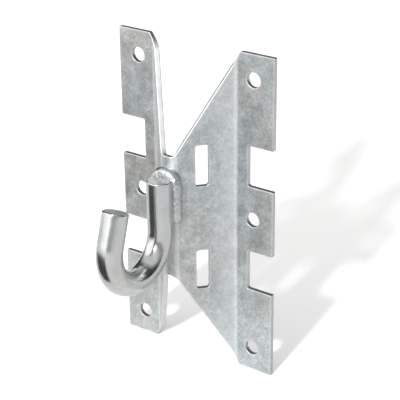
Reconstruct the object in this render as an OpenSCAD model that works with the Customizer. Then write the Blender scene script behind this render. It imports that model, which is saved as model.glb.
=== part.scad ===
// Folded steel bracket with a welded J hook, which carries cables along a wall or a pole.
// One blank is folded into two flanges, two slanting webs and a narrow nose.
// A round bar, bent into a J, is welded down the front of the nose.
// The origin is on the wall plane, midway between the flanges and midway up.
// +Z is up and the hook points to -Y. All sizes are in millimetres.

/* [Plate] */
// Height of the folded plate
plate_h = 200; // [180:1:240]
// Width over both flanges
plate_w = 108; // [102:1:124]
// Sheet thickness
plate_t = 3; // [2:0.5:4]
// Inside radius of every fold
fold_r = 4; // [2:0.5:5]
// Angle between each web and the wall plane
web_angle = 48; // [44:1:54]
// Distance from the wall plane to the front of the nose
nose_depth = 30; // [26:1:32]
// Half width of the nose, to where its face would meet the face of a web
nose_half = 4.2; // [4.2:0.1:6]

/* [Slanting edges] */
// Width of each flange at its upper and lower ends
end_w = 22.4; // [20:0.2:23]
// Height of the nose above the middle of the plate
nose_top = 39.5; // [36:0.5:50]
// Depth of the nose below the middle of the plate
nose_bottom = 36; // [34:0.5:50]
// Half length of the nose's level edges, on the flat sheet
nose_edge = 3.4; // [3.4:0.1:4.2]
// Radius where the upper slanting edge runs into the nose
top_blend_r = 2.5; // [1:0.5:4]
// Radius where the lower slanting edge runs into the nose
bottom_blend_r = 6; // [1:0.5:6]

/* [Bolt holes] */
// Diameter of each bolt hole
hole_d = 9; // [6:0.5:10]
// Distance from the middle of the plate to each column of holes
hole_x = 40.4; // [39:0.2:46]
// Height of the outer holes above and below the middle one
hole_z = 85; // [65:1:85]

/* [Band openings] */
// Width of the steel band that ties the bracket to a pole
band_w = 20; // [10:1:22]
// Total play of the band in its openings
band_play = 5; // [1:0.5:6]
// Height of each band above and below the middle of the plate
band_z = 33; // [30:0.5:38]
// Depth of each notch, from the flange's outer edge
notch_depth = 17; // [10:0.5:17]
// Radius of the two inner corners of each notch
notch_r = 1; // [0.5:0.5:3]
// Width of each slot along its web
slot_w = 7.6; // [6:0.1:8]
// Distance along the web from the fold line to the middle of each slot
slot_from_fold = 19.5; // [17:0.1:20]
// Corner radius of each slot
slot_r = 1.6; // [0.4:0.2:2.4]

/* [Hook] */
// Diameter of the hook's round bar
bar_d = 15; // [10:0.5:18]
// Inside diameter of the bend, which is the largest bundle that it seats
throat_d = 31; // [24:1:50]
// Height of the arm's upper end above the middle of the plate
arm_top = 28; // [22:0.5:32]
// Height of the point where the arm runs into the bend
bend_start = -3; // [-10:0.5:4]
// Angle that the bar is bent through
hook_turn = 197; // [180:1:205]
// Straight length of the tip past the bend
tip_len = 20; // [5:1:40]
// Width of the chamfer around both ends of the bar
bar_chamfer = 0.8; // [0.2:0.1:1.5]

/* [Weld] */
// Radius of the weld bead
bead_r = 3.8; // [3.2:0.1:4.4]
// Distance from the middle of the nose to the middle of each side bead
bead_x = 6.6; // [6:0.1:7]
// Distance that the bead's middle lies in front of the nose
bead_out = 1; // [0.5:0.1:1.5]
// Height of the lower end of each side bead
bead_bottom = 1; // [-5:0.5:6]
// Half width of the strip behind the bar that the weld doesn't reach
root_half = 2; // [1.5:0.1:2.5]

/* [Hidden] */
$fn = 96;
// Overlap of a cutting tool past the face that it cuts
past = 1;
// The tip starts this far inside the bend and is this much thinner, so that the two fuse into one bar
tip_sink = 0.3;
tip_step = 0.02;

// Folds: each one is an arc about its own centre, tangent to the two flat faces beside it
fold_tan = tan(web_angle / 2);
nose_r = fold_r + plate_t;
fold_x = nose_half + (nose_depth - plate_t) / tan(web_angle);
fold_c = [fold_x + fold_r * fold_tan, -plate_t - fold_r];
nose_c = [nose_half - nose_r * fold_tan, -nose_depth + nose_r];

// Web: its inward normal, and the point where its front face leaves the fold
web_in = [-sin(web_angle), cos(web_angle)];
web_start = fold_c + fold_r * web_in;
fold_to_web = fold_r * fold_tan;
web_to_middle = web_start.x * cos(web_angle) + (web_start.y + nose_depth) * sin(web_angle);

// Slanting edge: one straight cut on the flat blank, followed across the fold's middle fibre
end_x = plate_w / 2 - end_w;
end_to_fold = end_x - fold_c.x;
fold_arc = (fold_r + plate_t / 2) * web_angle * PI / 180;
web_run = web_to_middle - nose_edge;
fold_steps = 8;
function slope(nose_z) = (plate_h / 2 - nose_z) / (end_to_fold + fold_arc + web_run);
function fold_z(nose_z) = plate_h / 2 - slope(nose_z) * end_to_fold;
function web_z(nose_z) = fold_z(nose_z) - slope(nose_z) * fold_arc;

band_open = band_w + band_play;
notch_x = plate_w / 2 - notch_depth;

bar_r = bar_d / 2;
bend_r = (throat_d + bar_d) / 2;
bar_y = -nose_depth - bar_r;
bead_y = -nose_depth - bead_out;

// Both sides of the bracket, which are mirror images
module both_sides() {
    children();
    mirror([1, 0, 0]) children();
}

function mirrored(points) = [for (i = [len(points) - 1:-1:0]) [-points[i].x, points[i].y]];

// What a round fold takes off the sharp corner of the nose, on the right
module nose_corner(inset) {
    r = nose_r - inset;
    sharp = nose_c + r * [fold_tan, -1];
    difference() {
        polygon([
            nose_c - r * web_in,
            nose_c - (r + past) * web_in,
            sharp + past * [fold_tan, -1],
            nose_c - [0, r + past],
            nose_c - [0, r]]);
        translate(nose_c) circle(r = r);
    }
}

// Everything behind the face that lies "inset" behind the sheet's front face, in plan
module behind_face(inset, half_w, back_y) {
    half = [
        [half_w, back_y],
        [half_w, inset - plate_t],
        [fold_c.x, inset - plate_t],
        fold_c + (fold_r + inset) * web_in,
        nose_c + (nose_r - inset) * [fold_tan, -1]];
    difference() {
        polygon(concat(half, mirrored(half)));
        both_sides() {
            translate(fold_c) circle(r = fold_r + inset);
            nose_corner(inset);
        }
    }
}

// The sheet in plan: the stretch between its front face and its back face
module sheet_plan() {
    difference() {
        behind_face(0, plate_w / 2, past);
        behind_face(plate_t, plate_w / 2 + past, 2 * past);
    }
}

// Draws a shape in the flange's plane, x across and z up, and runs it through the flange
module through_flange() {
    translate([0, past, 0]) rotate([90, 0, 0]) linear_extrude(plate_t + 2 * past) children();
}

// Draws a shape on the right web, x along the web from its fold and z up, and runs it through
module through_web(depth) {
    translate([web_start.x, web_start.y, 0]) rotate([0, 0, 180 + web_angle])
        translate([0, past, 0]) rotate([90, 0, 0]) linear_extrude(depth + past) children();
}

// A rectangle with four round corners, about its middle
module round_rectangle(w, h, r) {
    square([w - 2 * r, h], center = true);
    square([w, h - 2 * r], center = true);
    for (x = [-1, 1], z = [-1, 1])
        translate([x * (w / 2 - r), z * (h / 2 - r)]) circle(r = r);
}

// Takes away the fold above the slanting edge, which climbs around the fold like a stair rail
module fold_cut(nose_z) {
    radii = [fold_r - past, nose_r + past];
    drop = fold_z(nose_z) - web_z(nose_z);
    turn = [for (i = [0:fold_steps]) web_angle * i / fold_steps, web_angle + 3];
    rise = [for (i = [0:fold_steps]) fold_z(nose_z) - drop * i / fold_steps, web_z(nose_z)];
    last = len(turn) - 1;
    rows = [for (i = [0:last], z = [rise[i], plate_h / 2], r = radii)
        [fold_c.x - r * sin(turn[i]), fold_c.y + r * cos(turn[i]), z]];
    // Each row holds the inner and outer points of the cut, then the inner and outer points on top
    strips = [for (i = [0:last - 1]) let (a = 4 * i, b = 4 * i + 4) each [
        [a, a + 1, b + 1], [a, b + 1, b],
        [a + 2, b + 2, b + 3, a + 3],
        [a, b, b + 2, a + 2],
        [a + 1, a + 3, b + 3, b + 1]]];
    ends = [[0, 2, 3, 1], [4 * last, 4 * last + 1, 4 * last + 3, 4 * last + 2]];
    polyhedron(points = rows, faces = concat(strips, ends));
}

// Takes away the right web above the slanting edge, and the nose above its level edge
module web_cut(nose_z, blend_r) {
    slant = atan(slope(nose_z));
    corner = [web_run, nose_z];
    reach = blend_r * tan(slant / 2);
    along = web_to_middle + past;
    seam = past / 2;
    intersection() {
        through_web(2 * nose_r) {
            polygon([
                [0, web_z(nose_z)],
                corner + reach * [-cos(slant), sin(slant)],
                corner + [reach, 0],
                [along, nose_z],
                [along, plate_h / 2],
                [0, plate_h / 2]]);
            translate(corner + [reach, blend_r]) circle(r = blend_r);
        }
        translate([-seam, -plate_h, 0]) cube(2 * plate_h);
    }
}

// One end of the blank: the straight cut over the flanges, the folds, the webs and the nose
module end_cut(nose_z, blend_r) {
    half = [[end_x + past / slope(nose_z), plate_h / 2 + past], [fold_c.x, fold_z(nose_z)]];
    through_flange_deep() polygon(concat(half, mirrored(half)));
    both_sides() {
        fold_cut(nose_z);
        web_cut(nose_z, blend_r);
    }
}

// Draws a shape as through_flange does, and runs it on past the front of the nose
module through_flange_deep() {
    translate([0, past, 0]) rotate([90, 0, 0])
        linear_extrude(nose_depth + 2 * past) children();
}

// Holes, notches and slots of the right side
module side_openings() {
    for (z = [-hole_z, 0, hole_z])
        translate([hole_x, past, z]) rotate([90, 0, 0])
            cylinder(d = hole_d, h = plate_t + 2 * past);
    for (z = [-band_z, band_z]) {
        through_flange() translate([notch_x + notch_depth, z])
            round_rectangle(2 * notch_depth, band_open, notch_r);
        through_web(plate_t + past) translate([slot_from_fold - fold_to_web, z])
            round_rectangle(slot_w, band_open, slot_r);
    }
}

module bracket_plate() {
    color("#9ca5a6") difference() {
        translate([0, 0, -plate_h / 2]) linear_extrude(plate_h) sheet_plan();
        both_sides() side_openings();
        end_cut(nose_top, top_blend_r);
        mirror([0, 0, 1]) end_cut(nose_bottom, bottom_blend_r);
    }
}

// A straight stretch of bar that ends in a chamfered face
module bar_end(length, r) {
    cylinder(r = r, h = length - bar_chamfer);
    translate([0, 0, length - bar_chamfer])
        cylinder(r1 = r, r2 = r - bar_chamfer, h = bar_chamfer);
}

module hook_bar() {
    color("#b9bec0") translate([0, bar_y, bend_start]) {
        bar_end(arm_top - bend_start, bar_r);
        translate([0, -bend_r, 0]) rotate([0, -90, 0]) rotate([0, 0, 90]) {
            rotate_extrude(angle = hook_turn) translate([bend_r, 0]) circle(r = bar_r);
            rotate([0, 0, hook_turn]) translate([bend_r, -tip_sink, 0]) rotate([-90, 0, 0])
                bar_end(tip_len + tip_sink, bar_r - tip_step);
        }
    }
}

// The bead's path: up one side of the arm, over its end and down the other side
module bead_path() {
    arch_z = arm_top + bead_r / 2 - bead_x;
    translate([0, bead_y, arch_z]) rotate([90, 0, 0])
        rotate_extrude(angle = 180) translate([bead_x, 0]) circle(r = bead_r);
    both_sides() translate([bead_x, bead_y, bead_bottom]) {
        cylinder(r = bead_r, h = arch_z - bead_bottom);
        sphere(r = bead_r);
    }
}

module weld_bead() {
    below = 2 * bead_r;
    arm = arm_top - bead_bottom + below;
    color("#c2c6c6") difference() {
        bead_path();
        translate([0, 0, bead_bottom - below]) {
            translate([0, bar_y, 0]) cylinder(r = bar_r, h = arm);
            translate([-root_half, -nose_depth - past, 0]) cube([2 * root_half, 2 * past, arm]);
            linear_extrude(plate_h / 2) behind_face(0, plate_w / 2, 0);
        }
    }
}

bracket_plate();
hook_bar();
weld_bead();
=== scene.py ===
# %% [markdown]
# # A folded bracket with a welded J hook
#
# The object carries cables along a wall or a pole. A steel blank is punched and folded
# four times, a bent round bar is welded down its nose, and the whole is hot-dip
# galvanised. This lesson dresses the CAD model of it: it folds a finer sheet, sweeps a
# finer bar, lays a rippled weld bead, and gives each of them a zinc finish built from
# nodes.
#
# The CAD model comes in as a fixed frame. All new pieces are in metres in the same frame,
# so nothing has to be fitted: the origin is on the wall plane, +Z is up, and the hook
# points to -Y.

# %% Load the frame
import math

import bmesh
import bpy
from mathutils import Matrix, Vector, noise


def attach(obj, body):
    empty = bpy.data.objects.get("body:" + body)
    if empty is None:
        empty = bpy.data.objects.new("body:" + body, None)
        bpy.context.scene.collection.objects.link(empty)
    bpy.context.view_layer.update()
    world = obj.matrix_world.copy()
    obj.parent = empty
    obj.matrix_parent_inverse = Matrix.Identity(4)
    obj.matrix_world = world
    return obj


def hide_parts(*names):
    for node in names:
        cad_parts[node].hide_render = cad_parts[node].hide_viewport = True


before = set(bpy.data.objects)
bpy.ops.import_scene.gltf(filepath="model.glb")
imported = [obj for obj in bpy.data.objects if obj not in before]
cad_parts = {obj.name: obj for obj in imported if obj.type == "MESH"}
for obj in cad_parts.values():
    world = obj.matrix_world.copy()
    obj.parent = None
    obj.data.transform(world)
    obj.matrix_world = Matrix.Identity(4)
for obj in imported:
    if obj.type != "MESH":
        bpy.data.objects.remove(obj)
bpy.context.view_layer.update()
print("CAD nodes:", sorted(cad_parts))

MM = 0.001

# %% [markdown]
# ## The camera
#
# A long lens looks from about three quarters of a metre, turned 36 degrees to the right of
# the hook and raised 25 degrees. It keeps the two flanges nearly parallel, so that the
# bracket's form is easy to read. The camera's three directions are worked out from those
# angles, because that keeps the numbers readable. The small roll and the aim point frame
# the object.

# %% Place the camera
CAM_AZIMUTH = math.radians(36.149)
CAM_ELEVATION = math.radians(24.555)
CAM_ROLL = math.radians(-0.634)
CAM_DISTANCE = 783.4 * MM
CAM_LENS = 118.69
CAM_AIM = Vector((0.34, 0.83, 1.02)) * MM

forward = Vector((
    -math.sin(CAM_AZIMUTH) * math.cos(CAM_ELEVATION),
    math.cos(CAM_AZIMUTH) * math.cos(CAM_ELEVATION),
    -math.sin(CAM_ELEVATION)))
right = Vector((math.cos(CAM_AZIMUTH), math.sin(CAM_AZIMUTH), 0))
up = right.cross(forward)
right, up = (right * math.cos(CAM_ROLL) + up * math.sin(CAM_ROLL),
             up * math.cos(CAM_ROLL) - right * math.sin(CAM_ROLL))

camera_data = bpy.data.cameras.new("camera")
camera_data.lens = CAM_LENS
camera_data.sensor_width = 36
camera = bpy.data.objects.new("camera", camera_data)
bpy.context.scene.collection.objects.link(camera)
axes = Matrix((right, up, -forward)).transposed().to_4x4()
camera.matrix_world = Matrix.Translation(CAM_AIM - CAM_DISTANCE * forward) @ axes
bpy.context.scene.camera = camera
print("camera at, mm:", [round(c / MM) for c in camera.matrix_world.translation])

# %% [markdown]
# ## The sheet, drawn flat
#
# The real plate starts as a flat blank, and so does this one. Distances along the blank
# run on the middle of the sheet's thickness, which neither stretches nor shrinks in a
# fold. The stretches are, from the middle outwards: half of the nose, the nose's fold, the
# web, the flange's fold and the flange. Boolean cuts on a bent box could give much the
# same form, but the slanting edges climb around the folds, and a blank that is really
# folded gets that line right by itself.

# %% Sizes of the sheet
HEIGHT = 200.0
THICK = 3.0
FOLD_R = 4.0
NOSE_R = FOLD_R + THICK
MID_R = FOLD_R + THICK / 2
TURN = math.radians(48)
NOSE_DEPTH = 30.0
NOSE_HALF = 4.2
END_X = 31.6
HALF_WIDTH = 54.0

fold_tan = math.tan(TURN / 2)
fold_line = NOSE_HALF + (NOSE_DEPTH - THICK) / math.tan(TURN)
fold_centre = (fold_line + FOLD_R * fold_tan, -THICK - FOLD_R)
nose_centre = (NOSE_HALF - NOSE_R * fold_tan, -NOSE_DEPTH + NOSE_R)
web_start = (nose_centre[0] + NOSE_R * math.sin(TURN), nose_centre[1] - NOSE_R * math.cos(TURN))
web_end = (fold_centre[0] - FOLD_R * math.sin(TURN), fold_centre[1] + FOLD_R * math.cos(TURN))

ARC = MID_R * TURN
S_NOSE = nose_centre[0]
S_WEB = S_NOSE + ARC
S_FOLD = S_WEB + math.dist(web_start, web_end)
S_FLANGE = S_FOLD + ARC
S_EDGE = S_FLANGE + HALF_WIDTH - fold_centre[0]
print("half width of the flat blank, mm:", round(S_EDGE, 2))

# %% [markdown]
# A contour is a list of corners, each with its own radius. To round the sheet's edges, the
# contour is needed again a little further in, so each corner can be asked for at any
# inset. A corner that points out of the sheet gets a smaller radius as it moves in, and
# then stays sharp; a corner that points into the sheet gets a larger one. A bevel modifier
# could round the edges too, but insets keep every corner's radius exact.

# %% Contours that can be inset
def corner_points(before, corner, after, radius, inset, steps):
    """The points of one round corner of a contour that has the sheet on its left."""
    a = (Vector(corner) - Vector(before)).normalized()
    b = (Vector(after) - Vector(corner)).normalized()
    bend = math.atan2(a.cross(b), a.dot(b))
    outwards = bend > 0
    if outwards:
        reach, r = max(radius, inset), max(radius - inset, 0)
    else:
        reach, r = radius, radius + inset
    centre = Vector(corner) + (b - a).normalized() * reach / math.cos(bend / 2)
    start = Vector((-a.y, a.x)) * (-1 if outwards else 1)
    points = []
    for i in range(steps + 1):
        turn = bend * i / steps
        c, s = math.cos(turn), math.sin(turn)
        points.append(centre + r * Vector((start.x * c - start.y * s, start.x * s + start.y * c)))
    return points


def contour(corners, inset, steps=6):
    """All points of a contour, from (x, z, radius) corners with the sheet on the left."""
    n = len(corners)
    points = []
    for i in range(n):
        points += corner_points(corners[i - 1][:2], corners[i][:2], corners[(i + 1) % n][:2],
                                corners[i][2], inset, steps)
    return points


def hole(x, z, radius, inset, steps=48):
    """A round hole's points, clockwise, so that the sheet is on the left."""
    r = radius + inset
    return [Vector((x + r * math.cos(-2 * math.pi * i / steps),
                    z + r * math.sin(-2 * math.pi * i / steps))) for i in range(steps)]

# %% [markdown]
# The outline runs up the right side and down the left. Its slanting edges are straight on
# the flat blank and only climb like a stair rail once the sheet is folded. Each flange has
# two notches, and each web two slots, for the steel bands that tie the bracket to a pole.
# The six round holes take bolts, for a wall.

# %% Draw the blank
NOSE_TOP = 39.5
NOSE_TOP_R = 2.5
NOSE_BOTTOM = 36.0
NOSE_BOTTOM_R = 6.0
NOSE_EDGE = 3.17
END_R = 0.8
PUNCH_R = 0.5

BAND_Z = 33.0
BAND_HALF = 12.5
NOTCH_DEPTH = 17.0
NOTCH_R = 1.0
SLOT_FROM_FOLD = 19.5
SLOT_HALF = 3.8
SLOT_R = 1.6

HOLE_X = 40.4
HOLE_Z = 85.0
HOLE_R = 4.5

end_s = S_FLANGE + END_X - fold_centre[0]
notch_s = S_EDGE - NOTCH_DEPTH
slot_s = S_FOLD - (SLOT_FROM_FOLD - FOLD_R * fold_tan)
hole_s = S_FLANGE + HOLE_X - fold_centre[0]

right_side = [
    (NOSE_EDGE, -NOSE_BOTTOM, NOSE_BOTTOM_R),
    (end_s, -HEIGHT / 2, END_R),
    (S_EDGE, -HEIGHT / 2, PUNCH_R)]
for z in (-BAND_Z, BAND_Z):
    right_side += [
        (S_EDGE, z - BAND_HALF, PUNCH_R), (notch_s, z - BAND_HALF, NOTCH_R),
        (notch_s, z + BAND_HALF, NOTCH_R), (S_EDGE, z + BAND_HALF, PUNCH_R)]
right_side += [
    (S_EDGE, HEIGHT / 2, PUNCH_R),
    (end_s, HEIGHT / 2, END_R),
    (NOSE_EDGE, NOSE_TOP, NOSE_TOP_R)]
outline = right_side + [(-x, z, r) for x, z, r in reversed(right_side)]


def all_contours(inset):
    """The blank's outline and openings, moved into the sheet by "inset"."""
    loops = [contour(outline, inset)]
    for side in (-1, 1):
        loops += [hole(side * hole_s, z, HOLE_R, inset) for z in (-HOLE_Z, 0, HOLE_Z)]
        for z in (-BAND_Z, BAND_Z):
            x = side * slot_s
            loops.append(contour([
                (x - SLOT_HALF, z - BAND_HALF, SLOT_R), (x - SLOT_HALF, z + BAND_HALF, SLOT_R),
                (x + SLOT_HALF, z + BAND_HALF, SLOT_R), (x + SLOT_HALF, z - BAND_HALF, SLOT_R)],
                inset))
    return loops


print("openings in the blank:", len(all_contours(0)) - 1)

# %% [markdown]
# ## From drawing to folded sheet
#
# Each contour becomes a stack of rings that goes round the sheet's edge: over the front
# rim, down the cut face and over the back rim. A last ring, a millimetre further in, holds
# the shading of the rim close to the edge. Then the front and the back are filled, the
# sheet is cut along closely spaced lines at each fold, and every point is folded. The
# function below says where a point of the blank goes. A deform modifier could bend the
# sheet, but the places and radii of the folds are known, so a short formula is exact.

# %% Fold one point of the blank
def fold(s, depth):
    """Plan position of a point "depth" behind the front face, "s" from the middle."""
    side = -1 if s < 0 else 1
    s = abs(s)
    if s <= S_NOSE:
        x, y = s, -NOSE_DEPTH + depth
    elif s <= S_WEB:
        a, r = (s - S_NOSE) / MID_R, NOSE_R - depth
        x, y = nose_centre[0] + r * math.sin(a), nose_centre[1] - r * math.cos(a)
    elif s <= S_FOLD:
        run = s - S_WEB
        x = web_start[0] - depth * math.sin(TURN) + run * math.cos(TURN)
        y = web_start[1] + depth * math.cos(TURN) + run * math.sin(TURN)
    elif s <= S_FLANGE:
        a, r = TURN - (s - S_FOLD) / MID_R, FOLD_R + depth
        x, y = fold_centre[0] - r * math.sin(a), fold_centre[1] + r * math.cos(a)
    else:
        x, y = fold_centre[0] + s - S_FLANGE, -THICK + depth
    return side * x, y


# %% [markdown]
# Two marks are drawn on the sheet's points for the zinc material: "rim" on the rounded
# edges, painted paler, partly for the thicker zinc there and partly as a painted
# highlight, and "bend" on the folds, painted paler as a painted highlight.

# %% Build the sheet
RIM = 0.35
RIM_FADE = 1.0
RIM_STEPS = 3
FOLD_STEPS = 8
SAME_POINT = 0.001


def edge_stack():
    """(inset, depth, rim mark) of each ring around the sheet's edge, front to back."""
    front = [(RIM + RIM_FADE, 0.0, 0.0)]
    for i in range(RIM_STEPS + 1):
        a = math.pi / 2 * i / RIM_STEPS
        front.append((RIM * (1 - math.sin(a)), RIM * (1 - math.cos(a)), 1.0))
    back = [(inset, THICK - depth, mark) for inset, depth, mark in reversed(front)]
    return front + back


def build_edges(bm):
    """Lays the rings around the outline and around each opening, and joins them."""
    # The "rim" mark carries a paler rim colour: partly thicker zinc, partly a painted highlight.
    rim = bm.verts.layers.float.new("rim")
    stack = edge_stack()
    rings_at = [all_contours(inset) for inset, depth, mark in stack]
    for k in range(len(rings_at[0])):
        rings = []
        for (inset, depth, mark), loops in zip(stack, rings_at):
            verts = [bm.verts.new((p.x, depth, p.y)) for p in loops[k]]
            for v in verts:
                v[rim] = mark
            rings.append(verts)
        n = len(rings[0])
        for a, b in zip(rings, rings[1:]):
            for i in range(n):
                j = (i + 1) % n
                bm.faces.new((a[i], b[i], b[j], a[j]))
    bmesh.ops.remove_doubles(bm, verts=bm.verts, dist=SAME_POINT)


def fill_sides(bm):
    """Fills the front and the back between the outline and the openings."""
    open_edges = [e for e in bm.edges if e.is_boundary]
    for front in (True, False):
        cap = [e for e in open_edges if (e.verts[0].co.y < THICK / 2) == front]
        bmesh.ops.triangle_fill(bm, use_beauty=True, edges=cap, normal=(0, 1, 0))


def cut_at_folds(bm):
    """Cuts the blank along the close lines at which it will bend."""
    cuts = [start + ARC * i / FOLD_STEPS
            for start in (S_NOSE, S_FOLD) for i in range(FOLD_STEPS + 1)]
    for s in [side * c for c in cuts for side in (-1, 1)]:
        everything = bm.verts[:] + bm.edges[:] + bm.faces[:]
        bmesh.ops.bisect_plane(bm, geom=everything, dist=SAME_POINT / 2,
                               plane_co=(s, 0, 0), plane_no=(1, 0, 0))


def build_sheet():
    """The blank with its openings and rounded edges, cut along its folds and folded."""
    bm = bmesh.new()
    build_edges(bm)
    fill_sides(bm)
    cut_at_folds(bm)
    # The "bend" mark carries a painted highlight: the folds are coloured paler.
    bend = bm.verts.layers.float.new("bend")
    for v in bm.verts:
        s = abs(v.co.x)
        v[bend] = 1.0 if S_NOSE < s < S_WEB or S_FOLD < s < S_FLANGE else 0.0
        x, y = fold(v.co.x, v.co.y)
        v.co = Vector((x, y, v.co.z)) * MM
    bmesh.ops.recalc_face_normals(bm, faces=bm.faces)
    return bm


def to_object(bm, name, cad_node):
    """Turns a bmesh into a smooth-shaded piece that takes the place of one CAD node."""
    mesh = bpy.data.meshes.new(name)
    bm.to_mesh(mesh)
    bm.free()
    mesh.polygons.foreach_set("use_smooth", [True] * len(mesh.polygons))
    piece = bpy.data.objects.new(name, mesh)
    bpy.context.scene.collection.objects.link(piece)
    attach(piece, "root")
    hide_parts(cad_node)
    print(name, "faces:", len(mesh.polygons), "size, mm:",
          [round(d / MM, 1) for d in piece.dimensions])
    return piece


sheet = to_object(build_sheet(), "folded_sheet", "bracket_plate")
sheet.modifiers.new("weighted", "WEIGHTED_NORMAL").weight = 100

# %% [markdown]
# ## The hook
#
# The real hook is a length of round bar, cut square and bent cold around a former. Here a
# circle is swept along the bar's middle line. A curve object with a round bevel gives such
# a tube as well, but not the rounded rims at its ends. The weld is swept in the same way,
# so the sweep is a function of its own.

# %% Sweep a tube
def sweep(path, radii, sides):
    """A closed tube along (point, right, up) stations, with one radius for each."""
    bm = bmesh.new()
    turns = [2 * math.pi * i / sides for i in range(sides)]
    rings = []
    for (p, a, b), r in zip(path, radii):
        rings.append([bm.verts.new(p + r * (math.cos(t) * a + math.sin(t) * b)) for t in turns])
    for low, high in zip(rings, rings[1:]):
        for i in range(sides):
            j = (i + 1) % sides
            bm.faces.new((low[i], low[j], high[j], high[i]))
    bm.faces.new(rings[0])
    bm.faces.new(rings[-1])
    bmesh.ops.recalc_face_normals(bm, faces=bm.faces)
    return bm


# %% [markdown]
# The bar goes down the arm, round the bend and up the tip, which leans in to keep the
# cable. Each cut end has a small rounded rim, and its face is made of rings, so that it
# shades flat.

# %% Build the hook
BAR_R = 7.5
THROAT_R = 15.5
BEND_R = THROAT_R + BAR_R
BAR_Y = -NOSE_DEPTH - BAR_R
ARM_TOP = 28.0
BEND_Z = -3.0
HOOK_TURN = math.radians(197)
TIP = 20.0
CHAMFER = 0.8
BAR_SIDES = 64
ARM_STEPS = 24
BEND_STEPS = 72
TIP_STEPS = 16
tip_way = Vector((0, -math.sin(HOOK_TURN), -math.cos(HOOK_TURN)))


def bar_line():
    """Points on the bar's middle line and the directions across it, in millimetres."""
    across = Vector((1, 0, 0))
    arm = ARM_TOP - BEND_Z
    stations = []
    for i in range(ARM_STEPS + 1):
        point = Vector((0, BAR_Y, ARM_TOP - arm * i / ARM_STEPS))
        stations.append((point, across, Vector((0, -1, 0))))
    centre = Vector((0, BAR_Y - BEND_R, BEND_Z))
    for i in range(1, BEND_STEPS + 1):
        a = HOOK_TURN * i / BEND_STEPS
        out = Vector((0, math.cos(a), -math.sin(a)))
        stations.append((centre + BEND_R * out, across, -out))
    last, _, inwards = stations[-1]
    for i in range(1, TIP_STEPS + 1):
        stations.append((last + tip_way * TIP * i / TIP_STEPS, across, inwards))
    return stations


def cut_end(station, along):
    """Extra stations that round the rim of a cut end and close its face with rings."""
    p, a, b = station
    rim = [(CHAMFER * math.sin(t) - CHAMFER, BAR_R - CHAMFER * (1 - math.cos(t)))
           for t in [math.radians(d) for d in (0, 25, 50, 70, 90)]]
    face = [(0.0, BAR_R - CHAMFER - d) for d in (0.3, 2.0, 4.0, 6.0)]
    return [((p + along * x, a, b), r) for x, r in rim + face]


def build_hook():
    """The bar with both of its cut ends, as one tube."""
    line = bar_line()
    top = cut_end(line[0], Vector((0, 0, 1)))
    tip = cut_end(line[-1], tip_way)
    whole = list(reversed(top)) + [(station, BAR_R) for station in line[1:-1]] + tip
    path = [(p * MM, a, b) for (p, a, b), r in whole]
    return sweep(path, [r * MM for station, r in whole], BAR_SIDES)


hook = to_object(build_hook(), "bent_bar", "hook_bar")
hook.modifiers.new("weighted", "WEIGHTED_NORMAL").weight = 100

# %% [markdown]
# ## The weld
#
# The welder runs up one side of the arm, over its end and down the other side. A weld
# cools in small overlapping scallops, so the swept circle swells and steps back every
# couple of millimetres, and noise keeps the steps from being even. Both ends taper. It
# could be sculpted by hand, but a formula keeps its rhythm and can be changed.

# %% Build the weld bead
BEAD_R = 3.7
BEAD_X = 6.7
BEAD_Y = -NOSE_DEPTH - 1.0
BEAD_BOTTOM = 0.0
BEAD_STEPS = 150
BEAD_SIDES = 40
TAPER = 4.0
TAPER_LEAST = 0.004
SCALLOP = 2.3
RIPPLE = 0.07
WANDER = 0.4
LUMPS = 0.22


def bead_line():
    """(way along, whole length, point, outwards) up one side, over the arch and down."""
    arch_z = ARM_TOP + BEAD_R / 2 - BEAD_X
    side = arch_z - BEAD_BOTTOM
    length = 2 * side + math.pi * BEAD_X
    stations = []
    for i in range(BEAD_STEPS + 1):
        d = length * i / BEAD_STEPS
        if d < side:
            p, a = Vector((-BEAD_X, BEAD_Y, BEAD_BOTTOM + d)), 0
        elif d > length - side:
            p, a = Vector((BEAD_X, BEAD_Y, BEAD_BOTTOM + length - d)), math.pi
        else:
            a = (d - side) / BEAD_X
            p = Vector((-BEAD_X * math.cos(a), BEAD_Y, arch_z + BEAD_X * math.sin(a)))
        out = Vector((-math.cos(a), 0, math.sin(a)))
        stations.append((d, length, p, out))
    return stations


def build_bead():
    """The rippled bead, with a slow wander sideways and a lumpy skin."""
    path, radii = [], []
    for d, length, p, out in bead_line():
        end = min(d, length - d)
        taper = math.sqrt(max(1 - (1 - min(end / TAPER, 1)) ** 2, TAPER_LEAST))
        scallop = (d / SCALLOP) % 1
        wobble = noise.noise(Vector((d * 0.3, 3.1, 0)))
        swell = 0.95 + RIPPLE * math.sqrt(scallop) + RIPPLE * wobble
        radii.append(BEAD_R * taper * swell * MM)
        shift = Vector((noise.noise(Vector((d * 0.2, 0, 7))), 0, 0)) * WANDER
        path.append(((p + shift) * MM, out, Vector((0, -1, 0))))
    bm = sweep(path, radii, BEAD_SIDES)
    for v in bm.verts:
        v.co += v.normal * LUMPS * MM * noise.noise(v.co / MM * 0.55)
    return bm


bead = to_object(build_bead(), "weld_run", "weld_bead")

# %% [markdown]
# ## Zinc
#
# Hot-dip zinc on sheet looks like a satin metal with cloudy patches a few centimetres
# across, a fine mottle of a few millimetres, and small dull or bright crystals. A picture
# wrapped around the piece would blur close up and show its seams, so all of it is noise in
# the object's own space. These short helpers keep the material itself readable.

# %% A material helper
def add(tree, kind, **inputs):
    """Adds a node; the keyword names are its inputs, with _ for a space."""
    node = tree.nodes.new("ShaderNode" + kind)
    for name, value in inputs.items():
        socket = node.inputs[name.replace("_", " ")]
        if hasattr(value, "links"):
            tree.links.new(value, socket)
        else:
            socket.default_value = value
    return node


def ramp(tree, source, stops):
    """A colour ramp: stops are (position, grey or colour)."""
    node = tree.nodes.new("ShaderNodeValToRGB")
    tree.links.new(source, node.inputs[0])
    elements = node.color_ramp.elements
    while len(elements) < len(stops):
        elements.new(0.5)
    for element, (place, tone) in zip(elements, stops):
        element.position = place
        rgb = tone if isinstance(tone, tuple) else (tone, tone, tone)
        element.color = (*rgb, 1)
    return node.outputs["Color"]


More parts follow.
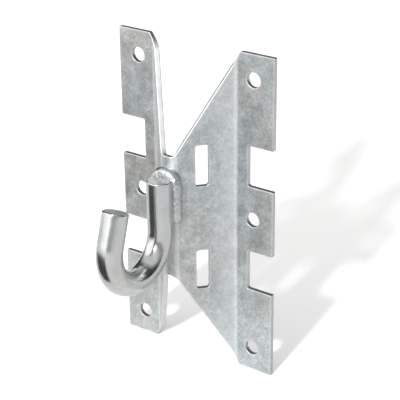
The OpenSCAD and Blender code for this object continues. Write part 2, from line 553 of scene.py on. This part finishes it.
def mix(tree, mode, amount, a, b):
    """A colour mix whose amount may be a number or a socket."""
    node = tree.nodes.new("ShaderNodeMix")
    node.data_type = "RGBA"
    node.blend_type = mode
    for index, value in ((0, amount), (6, a), (7, b)):
        if hasattr(value, "links"):
            tree.links.new(value, node.inputs[index])
        else:
            node.inputs[index].default_value = value
    return node.outputs[2]


def noise_layer(tree, place, per_metre, detail, rough, shift):
    """Noise in the object's own space, from 0 to 1."""
    node = add(tree, "TexNoise", Vector=place, Scale=per_metre, Detail=detail, Roughness=rough)
    node.noise_dimensions = "4D"
    node.inputs["W"].default_value = shift
    return node.outputs["Fac"]


def mark(tree, name, share):
    """A mark drawn on a piece's points, from 0 to "share"; 0 where a piece has none."""
    drawn = add(tree, "Attribute")
    drawn.attribute_name = name
    scaled = add(tree, "Math", Value=drawn.outputs["Fac"])
    scaled.operation = "MULTIPLY"
    scaled.inputs[1].default_value = share
    return scaled.outputs[0]


def tint(level, red, green, blue):
    """A colour from a grey level and the share of each primary."""
    return (level * red, level * green, level * blue, 1)


# %% [markdown]
# One function makes all three finishes from the same layers in different amounts, as one
# zinc bath makes them: the thin sheet chills fast and goes matt, while the thick bar stays
# hot, drains smooth and keeps its shine.

# %% Three zinc finishes
CLOUDS = 16
BLOTCHES = 120
CRYSTALS = 330.0
GRAINS = 620
# Paler grey on the rounded rims: partly the thicker zinc there, partly a painted highlight.
RIM_ZINC_AND_HIGHLIGHT = (0.7, 0.71, 0.71, 1)
RIM_ZINC_AND_HIGHLIGHT_SHARE = 0.5
# Paler grey on the folds: a painted highlight, for the light the folds catch.
FOLD_HIGHLIGHT_TONE = (0.86, 0.88, 0.89, 1)
FOLD_HIGHLIGHT_SHARE = 0.4
SMOOTHER = 0.07
ROUGHER = 0.12
GRAIN_DEPTH = 0.06 * MM
DENT_DEPTH = 0.3 * MM


def zinc(name, warm, cool, shine, mottle, grain, dents):
    """A galvanised finish: two tones, mean roughness, and the depth of each layer."""
    material = bpy.data.materials.new(name)
    material.use_nodes = True
    tree = material.node_tree
    tree.nodes.clear()
    place = add(tree, "TexCoord").outputs["Object"]

    clouds = noise_layer(tree, place, CLOUDS, 3, 0.55, 0.0)
    blotch = noise_layer(tree, place, BLOTCHES, 4, 0.6, 2.0)
    fine = noise_layer(tree, place, GRAINS, 3, 0.6, 5.0)
    crystals = add(tree, "TexVoronoi", Vector=place, Scale=CRYSTALS).outputs["Color"]
    crystal = add(tree, "SeparateColor", Color=crystals).outputs["Red"]

    tone = mix(tree, "MIX", ramp(tree, clouds, [(0.35, 0.0), (0.65, 1.0)]), warm, cool)
    tone = mix(tree, "MULTIPLY", mottle, tone, ramp(tree, blotch, [(0.3, 0.62), (0.7, 1.0)]))
    tone = mix(tree, "MULTIPLY", mottle, tone, ramp(tree, crystal, [(0.0, 0.8), (1.0, 1.0)]))
    tone = mix(tree, "MULTIPLY", grain, tone, ramp(tree, fine, [(0.35, 0.55), (0.6, 1.0)]))
    # The rims are mixed towards a paler grey: partly thicker zinc, partly a painted highlight.
    tone = mix(tree, "MIX", mark(tree, "rim", RIM_ZINC_AND_HIGHLIGHT_SHARE), tone, RIM_ZINC_AND_HIGHLIGHT)
    # The folds are mixed towards a paler grey: a painted highlight.
    tone = mix(tree, "MIX", mark(tree, "bend", FOLD_HIGHLIGHT_SHARE), tone, FOLD_HIGHLIGHT_TONE)

    rough = add(tree, "MapRange", Value=blotch)
    rough.inputs["To Min"].default_value = shine - SMOOTHER
    rough.inputs["To Max"].default_value = shine + ROUGHER

    height = mix(tree, "ADD", 0.5, fine, crystal)
    bump = add(tree, "Bump", Height=height, Strength=grain, Distance=GRAIN_DEPTH)
    wave = add(tree, "Bump", Height=blotch, Strength=dents, Distance=DENT_DEPTH,
               Normal=bump.outputs[0])

    shader = add(tree, "BsdfPrincipled", Base_Color=tone, Roughness=rough.outputs[0],
                 Metallic=1.0, Normal=wave.outputs[0])
    out = add(tree, "OutputMaterial")
    tree.links.new(shader.outputs[0], out.inputs["Surface"])
    print(name, "nodes:", len(tree.nodes))
    return material


SHEET_TONE = 0.72
SHEET_ROUGH = 0.45
BAR_TONE = 0.68
BAR_ROUGH = 0.18
WELD_ROUGH = 0.28

sheet_zinc = zinc("zinc_sheet", tint(SHEET_TONE, 0.98, 0.98, 0.96),
                  tint(SHEET_TONE, 0.93, 1.01, 1.04),
                  shine=SHEET_ROUGH, mottle=0.75, grain=0.5, dents=0.25)
bar_zinc = zinc("zinc_bar", tint(BAR_TONE, 1, 1, 0.98), tint(BAR_TONE, 0.97, 1.01, 1.03),
                shine=BAR_ROUGH, mottle=0.3, grain=0.15, dents=0.25)
weld_zinc = zinc("zinc_weld", tint(BAR_TONE, 0.97, 0.97, 0.95),
                 tint(BAR_TONE, 0.93, 0.96, 0.97),
                 shine=WELD_ROUGH, mottle=0.5, grain=0.3, dents=0.4)
sheet.data.materials.append(sheet_zinc)
hook.data.materials.append(bar_zinc)
bead.data.materials.append(weld_zinc)

# %% [markdown]
# ## The studio
#
# The bracket stands on a wide sheet of white paper, which runs out of view and keeps a
# soft shadow. The paper glows a little for the camera alone, so that it comes out white
# without throwing more light onto the metal.

# %% The floor
FLOOR_Z = -HEIGHT / 2 * MM
FLOOR_HALF = 4.0
PAPER_TONE = 0.87
PAPER_GLOW = 0.4


def lay(name, half_width, half_depth, place):
    """Lays a flat sheet for the studio, with its middle at "place", in metres."""
    bm = bmesh.new()
    bmesh.ops.create_grid(bm, x_segments=8, y_segments=8, size=1.0)
    mesh = bpy.data.meshes.new(name)
    bm.to_mesh(mesh)
    bm.free()
    flat = bpy.data.objects.new(name, mesh)
    flat.scale = (half_width, half_depth, 1)
    flat.location = place
    bpy.context.scene.collection.objects.link(flat)
    return flat


floor = lay("floor", FLOOR_HALF, FLOOR_HALF, (0, 0, FLOOR_Z))
paper = bpy.data.materials.new("paper")
paper.use_nodes = True
tree = paper.node_tree
paper_shader = tree.nodes["Principled BSDF"]
paper_shader.inputs["Base Color"].default_value = (PAPER_TONE, PAPER_TONE, PAPER_TONE, 1)
paper_shader.inputs["Roughness"].default_value = 0.9
glow = add(tree, "Emission", Strength=PAPER_GLOW)
unlit = add(tree, "Emission", Strength=0.0)
seen = add(tree, "LightPath").outputs["Is Camera Ray"]
choice = add(tree, "MixShader", Fac=seen)
tree.links.new(unlit.outputs[0], choice.inputs[1])
tree.links.new(glow.outputs[0], choice.inputs[2])
total = add(tree, "AddShader")
tree.links.new(paper_shader.outputs[0], total.inputs[0])
tree.links.new(choice.outputs[0], total.inputs[1])
tree.links.new(total.outputs[0], tree.nodes["Material Output"].inputs["Surface"])
floor.data.materials.append(paper)
print("floor at, mm:", round(FLOOR_Z / MM))

# %% [markdown]
# A dark card lies on the floor in front of the hook, as one is laid in a studio for bright
# metal: the round bar mirrors it, and gets the dark lines that its form is read by. Only
# mirrored rays see it, so it neither shows nor shades the floor.

# %% A dark card
CARD_HALF_WIDTH = 0.2
CARD_HALF_DEPTH = 0.21
CARD_X = -0.18
CARD_Y = -0.335
FELT_TONE = 0.03

card = lay("dark_card", CARD_HALF_WIDTH, CARD_HALF_DEPTH, (CARD_X, CARD_Y, FLOOR_Z + MM))
card.visible_camera = False
card.visible_diffuse = False
card.visible_shadow = False

felt = bpy.data.materials.new("felt")
felt.use_nodes = True
felt_shader = felt.node_tree.nodes["Principled BSDF"]
felt_shader.inputs["Base Color"].default_value = (FELT_TONE, FELT_TONE, FELT_TONE, 1)
felt_shader.inputs["Roughness"].default_value = 1.0
card.data.materials.append(felt)
print("card, mm:", round(2 * CARD_HALF_WIDTH / MM), "by", round(2 * CARD_HALF_DEPTH / MM))

# %% [markdown]
# One light stands in front, a little to the right and 27 degrees up. It throws the long
# shadow of the bracket across the floor behind it. Its width of 5 degrees gives the
# shadow its soft edge.

# %% The front light
KEY_POWER = 3.0
KEY_TURN = 7.4
KEY_LIFT = 27.0
KEY_WIDTH = 5


def towards(azimuth, elevation):
    """The direction at an azimuth from -Y towards +X, and an elevation, in degrees."""
    a, e = math.radians(azimuth), math.radians(elevation)
    return Vector((math.sin(a) * math.cos(e), -math.cos(a) * math.cos(e), math.sin(e)))


key_data = bpy.data.lights.new("key", "SUN")
key_data.energy = KEY_POWER
key_data.angle = math.radians(KEY_WIDTH)
key = bpy.data.objects.new("key", key_data)
bpy.context.scene.collection.objects.link(key)
key.location = towards(KEY_TURN, KEY_LIFT)
key.rotation_euler = towards(KEY_TURN, KEY_LIFT).to_track_quat("Z", "Y").to_euler()
print("key light from:", [round(c, 2) for c in towards(KEY_TURN, KEY_LIFT)])

# %% [markdown]
# Metal mostly shows what stands around it, so the room isn't even. A broad soft box stands
# at the front left, the room is pale above and grey lower down, and it is nearly dark
# behind the bracket. The camera itself sees plain white.

# %% The room
ROOM_LOW = 0.32
ROOM_HIGH = 0.8
BACK_DIM = 0.1
BOX_GLOW = 1.6
BOX_TURN = -40.0
BOX_LIFT = 4.0
BOX_EDGE = 0.66
BOX_SOFT = 0.08

world = bpy.data.worlds.new("room")
bpy.context.scene.world = world
world.use_nodes = True
tree = world.node_tree
tree.nodes.clear()
direction = add(tree, "TexCoord").outputs["Generated"]
parts = add(tree, "SeparateXYZ", Vector=direction)
height = ramp(tree, parts.outputs["Z"], [(0.15, 0.0), (0.6, 1.0)])
room = mix(tree, "MIX", height, tint(ROOM_LOW, 1, 1, 1), tint(ROOM_HIGH, 1, 1, 1))
behind = ramp(tree, parts.outputs["Y"], [(0.0, 0.0), (0.3, 1.0)])
dim = mix(tree, "MIX", behind, tint(1, 1, 1, 1), tint(BACK_DIM, 1, 1, 1))
room = mix(tree, "MULTIPLY", 1.0, room, dim)
near = add(tree, "VectorMath")
near.operation = "DOT_PRODUCT"
tree.links.new(direction, near.inputs[0])
near.inputs[1].default_value = towards(BOX_TURN, BOX_LIFT)
box = ramp(tree, near.outputs["Value"], [(BOX_EDGE, 0.0), (BOX_EDGE + BOX_SOFT, 1.0)])
lit = mix(tree, "MIX", box, room, tint(BOX_GLOW, 1, 0.99, 0.96))
seen = add(tree, "LightPath").outputs["Is Camera Ray"]
lit = mix(tree, "MIX", seen, lit, (1, 1, 1, 1))
background = add(tree, "Background", Color=lit, Strength=1.0)
world_out = add(tree, "OutputWorld")
tree.links.new(background.outputs[0], world_out.inputs["Surface"])
print("room nodes:", len(tree.nodes))
bpy.context.scene.view_settings.view_transform = "Standard"
